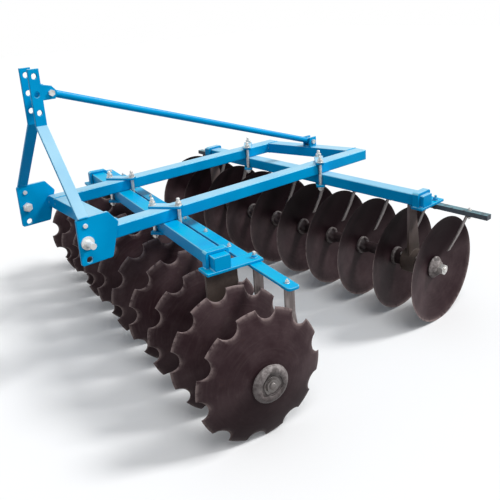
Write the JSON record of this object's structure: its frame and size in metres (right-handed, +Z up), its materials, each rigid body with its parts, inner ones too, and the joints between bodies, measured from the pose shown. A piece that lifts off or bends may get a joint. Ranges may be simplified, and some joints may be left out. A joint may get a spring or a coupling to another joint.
{
  "type": "disc harrow",
  "caption": "Tractor-mounted offset disc harrow: a blue frame with a three-point hitch carries a front row of notched discs and a rear row of plain discs with scrapers.",
  "frame": {"origin": "middle of the whole machine's footprint, on the floor under the discs", "axes": "+Z up, -Y towards the tractor, +X to the machine's left"},
  "size_m": [2.3736, 1.8786, 1.432],
  "materials": {
    "blue_paint": "gloss",
    "disc_steel": "satin",
    "cast_iron": "matte",
    "bare_steel": "satin",
    "hanger_steel": "matte",
    "blade_steel": "satin"
  },
  "bodies": {
    "frame": {"frame_beam_left": "blue_paint", "frame_beam_right": "blue_paint", "front_bracket_left": "blue_paint", "front_bracket_right": "blue_paint", "front_clamp_bolts": "bare_steel", "front_clamp_plates": "blue_paint", "front_cross_beam": "blue_paint", "front_gang_beam": "blue_paint", "front_hanger_left": "hanger_steel", "front_hanger_right": "hanger_steel", "front_scraper_bar": "blue_paint", "front_scrapers": "blade_steel", "hitch_plate_left": "blue_paint", "hitch_plate_right": "blue_paint", "lower_pin_left": "bare_steel", "lower_pin_right": "bare_steel", "mast_bar_left": "blue_paint", "mast_bar_right": "blue_paint", "rear_bracket_left": "blue_paint", "rear_bracket_right": "blue_paint", "rear_clamp_bolts": "bare_steel", "rear_clamp_plates": "blue_paint", "rear_cross_beam": "blue_paint", "rear_gang_beam": "blue_paint", "rear_hanger_left": "hanger_steel", "rear_hanger_right": "hanger_steel", "rear_scraper_bar": "blue_paint", "rear_scrapers": "blade_steel", "stay_bolts": "bare_steel", "stay_bracket": "blue_paint", "stay_rod": "blue_paint"},
    "front_gang": {"front_discs": "disc_steel", "front_spools": "cast_iron", "front_end_caps": "cast_iron", "front_end_nuts": "bare_steel", "front_axle": "disc_steel"},
    "rear_gang": {"rear_discs": "disc_steel", "rear_spools": "cast_iron", "rear_end_caps": "cast_iron", "rear_end_nuts": "bare_steel", "rear_axle": "disc_steel"}
  },
  "joints": [
    {"name": "front_gang_spin", "type": "hinge", "parent": "frame", "child": "front_gang", "pos_m": [0.04498, -0.45735, 0.28], "axis": [0.989, -0.1478, 0], "continuous": true},
    {"name": "rear_gang_spin", "type": "hinge", "parent": "frame", "child": "rear_gang", "pos_m": [-0.11002, 0.60265, 0.28], "axis": [0.9986, 0.0523, 0], "continuous": true}
  ]
}
